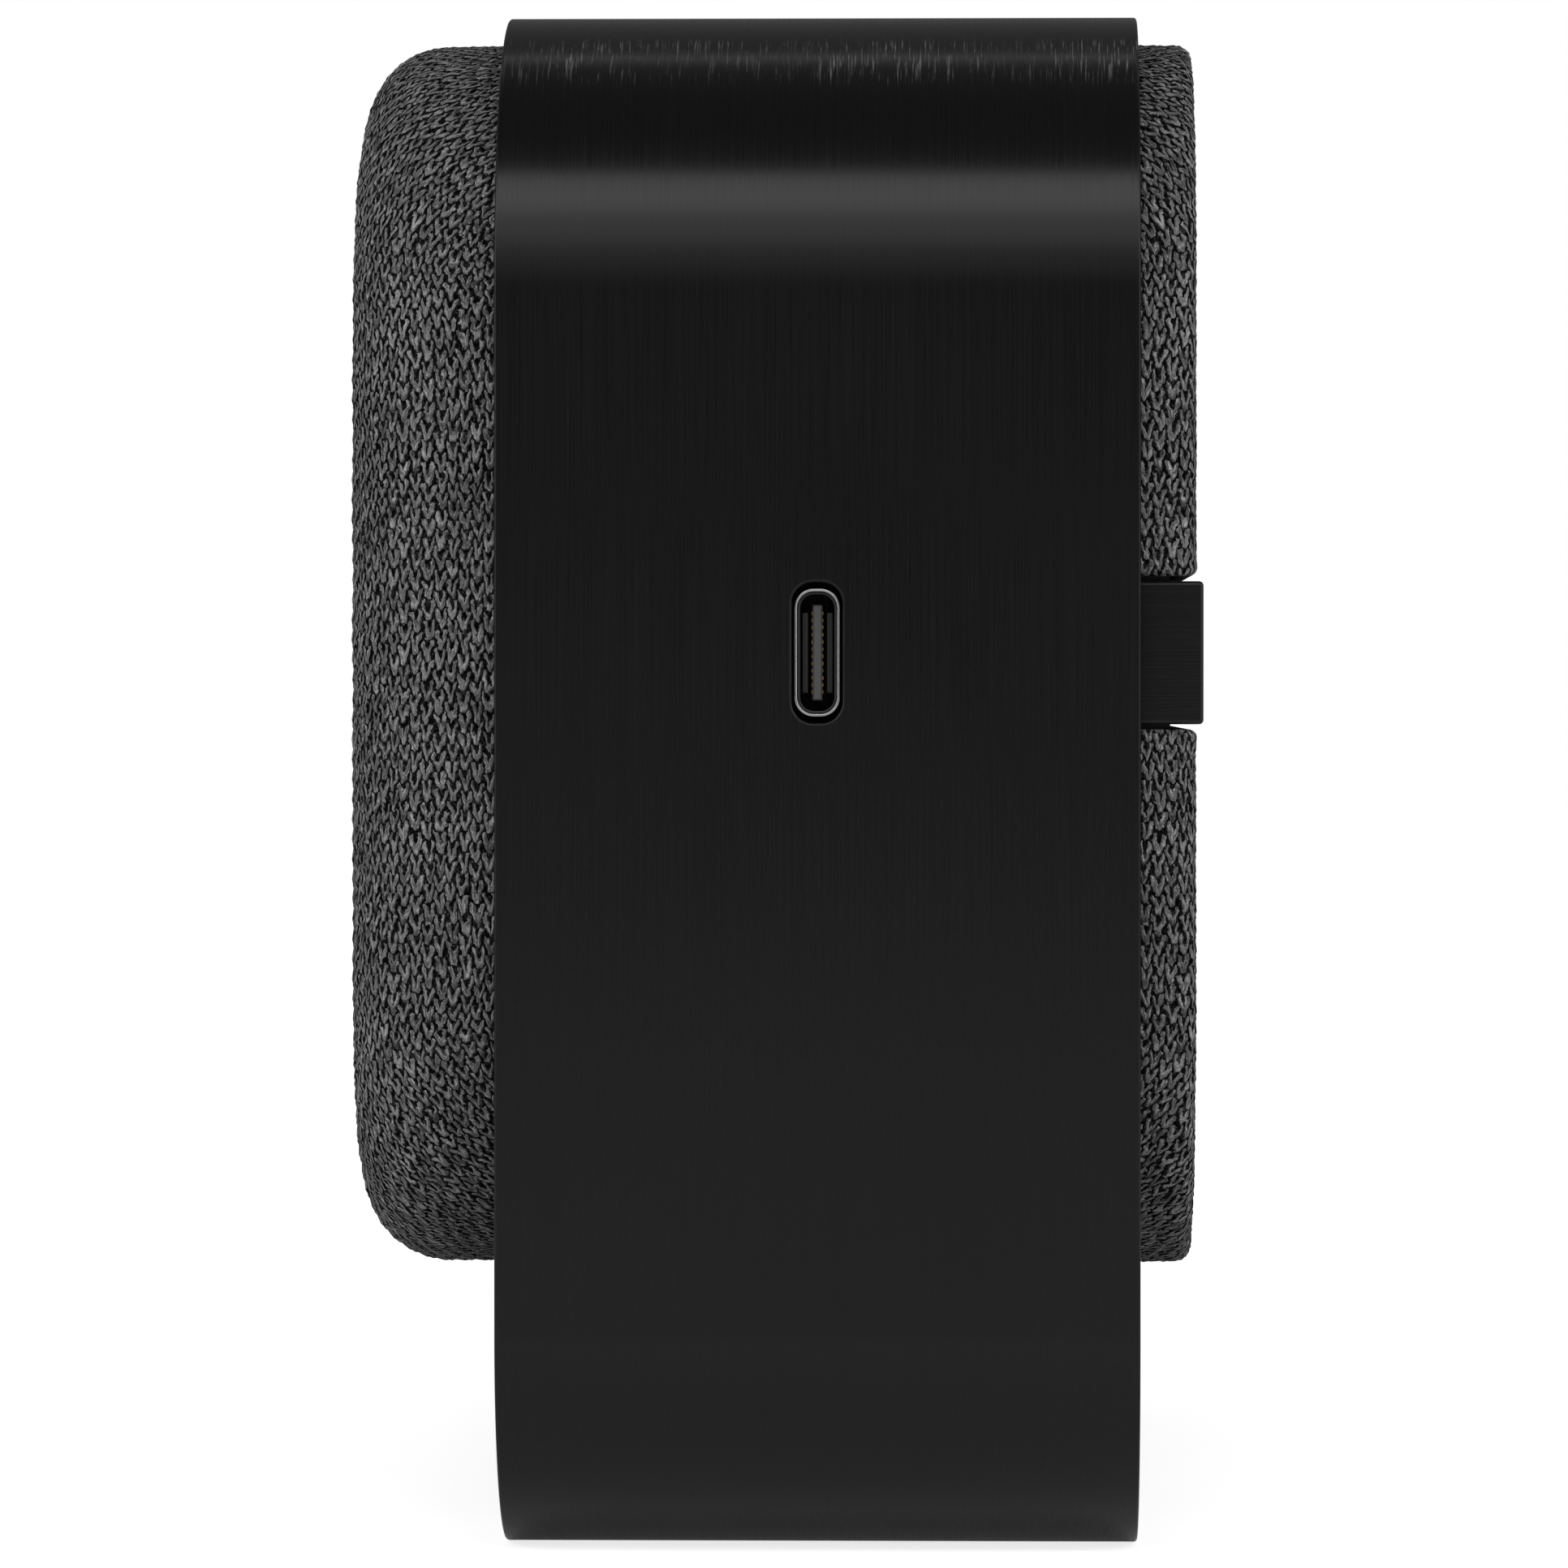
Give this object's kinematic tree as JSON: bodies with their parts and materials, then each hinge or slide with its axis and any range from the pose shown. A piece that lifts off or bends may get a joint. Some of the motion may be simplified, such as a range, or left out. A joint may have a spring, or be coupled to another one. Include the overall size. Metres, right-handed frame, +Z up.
{
  "type": "smart home hub",
  "caption": "Smart home hub: knit-covered speaker body held in a brushed aluminium loop stand, with a cross bar over the back and a power and data port in the side.",
  "frame": {"origin": "centre of the bounding box's bottom face, on the surface that the loop stands on", "axes": "+Z up; the domed fabric front faces -Y and the cross bar +Y; the port side is +X"},
  "size_m": [0.12, 0.0602, 0.1094],
  "materials": {
    "black_anodised_band": "black anodised, fine brush lines along the band",
    "black_anodised_bar": "black anodised, brush lines along the bar",
    "charcoal_knit": "melange knit, light and dark charcoal yarns",
    "shell_plastic": "fine moulded texture",
    "control_plastic": "satin",
    "basket_plastic": "matt",
    "foot_rubber": "matt, ribbed",
    "seal_rubber": "matt",
    "raw_aluminium": "satin",
    "screw_steel": "zinc plated",
    "black_steel": "black oxide",
    "switch_metal": "tin plated",
    "port_steel": "bright drawn steel",
    "plated_iron": "zinc plated",
    "ferrite": "ground ferrite",
    "tongue_plastic": "satin",
    "connector_plastic": "satin",
    "contact_gold": "gold flashed",
    "coil_copper": "enamelled wire",
    "circuit_board": "solder mask",
    "ribbon_film": "polyimide film",
    "lead_black": "satin sleeve",
    "lead_red": "satin sleeve",
    "pad_silicone": "matt silicone",
    "cone_paper": "pressed paper",
    "spider_cloth": "resined cloth",
    "clear_lens": "frosted"
  },
  "bodies": {
    "hub": {"loop_stand": "black_anodised_band", "foot_pad": "foot_rubber", "loop_standoffs": "raw_aluminium", "loop_screws": "screw_steel", "front_knit": "charcoal_knit", "rear_knit": "charcoal_knit", "front_shell": "shell_plastic", "rear_shell": "shell_plastic", "shell_screws": "screw_steel", "rear_bar": "black_anodised_bar", "bar_screws": "black_steel", "status_lens": "clear_lens", "control_board": "circuit_board", "control_screws": "screw_steel", "mute_switch": "switch_metal", "pair_switch": "switch_metal", "status_led": "connector_plastic", "usb_shell": "port_steel", "usb_tongue": "tongue_plastic", "usb_contacts": "contact_gold", "usb_board": "circuit_board", "port_gasket": "seal_rubber", "usb_ribbon": "ribbon_film", "control_ribbon": "ribbon_film", "main_board": "circuit_board", "board_screws": "screw_steel", "shield_cans": "switch_metal", "board_connectors": "connector_plastic", "thermal_pad": "pad_silicone", "heat_spreader": "raw_aluminium", "wifi_antenna": "ribbon_film", "mesh_antenna": "ribbon_film", "antenna_leads": "lead_black", "mic_board": "circuit_board", "microphones": "contact_gold", "mic_gaskets": "seal_rubber", "mic_ribbon": "ribbon_film", "speaker_grille": "black_steel", "speaker_gasket": "seal_rubber", "speaker_basket": "basket_plastic", "speaker_screws": "screw_steel", "top_plate": "plated_iron", "speaker_magnet": "ferrite", "pole_yoke": "plated_iron", "cone_surround": "seal_rubber", "spider": "spider_cloth", "speaker_box": "shell_plastic", "box_screws": "screw_steel", "box_seal": "seal_rubber", "speaker_leads": "lead_red"},
    "mute_key": {"mute_slider": "control_plastic"},
    "pair_key": {"pair_button": "control_plastic"},
    "cone_assembly": {"voice_coil": "coil_copper", "speaker_cone": "cone_paper", "dust_cap": "cone_paper"}
  },
  "joints": [
    {"name": "mute_slide", "type": "slide", "parent": "hub", "child": "mute_key", "axis": [1, 0, 0], "range_m": [0, 0.0024]},
    {"name": "pair_press", "type": "slide", "parent": "hub", "child": "pair_key", "axis": [0, -1, 0], "range_m": [0, 0.0003], "stiffness_N_per_m": 1500, "springref_m": -0.0003},
    {"name": "cone_stroke", "type": "slide", "parent": "hub", "child": "cone_assembly", "axis": [0, -1, 0], "range_m": [-0.001, 0.001], "stiffness_N_per_m": 900, "deforming": ["cone_surround", "spider"]}
  ]
}
